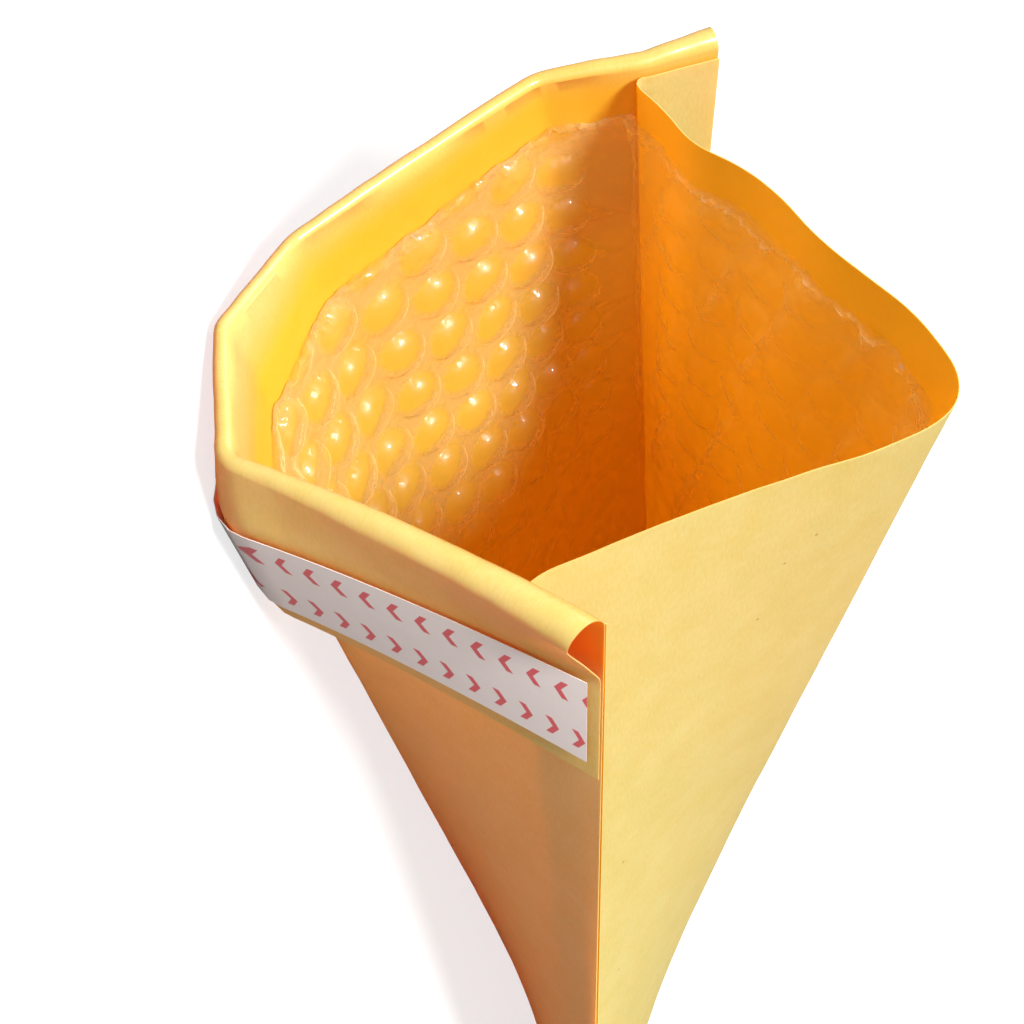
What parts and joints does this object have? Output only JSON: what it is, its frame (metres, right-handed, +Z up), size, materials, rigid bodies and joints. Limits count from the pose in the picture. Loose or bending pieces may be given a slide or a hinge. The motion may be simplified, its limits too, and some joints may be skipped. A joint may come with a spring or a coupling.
{
  "type": "bubble mailer",
  "caption": "Yellow kraft paper mailer lined with clear bubble film, mouth squeezed open, self-seal flap rolled back with its release liner on.",
  "frame": {"origin": "centre of the footprint, on the surface that the mailer lies on", "axes": "+Z up, mouth towards -Y, bottom fold towards +Y, the side seam nearest the picture's camera towards +X"},
  "size_m": [0.15, 0.2404, 0.0901],
  "materials": {
    "kraft_envelope": "smooth yellow kraft paper, slight sheen on the folds",
    "bubble_lining": "clear glossy bubble film over the yellow paper",
    "adhesive_strip": "tacky hot-melt band",
    "release_liner": "silicone-coated release paper with plain red marks"
  },
  "bodies": {
    "root": {"kraft_envelope": "kraft_envelope", "bubble_lining": "bubble_lining", "adhesive_strip": "adhesive_strip", "release_liner": "release_liner"}
  },
  "joints": []
}
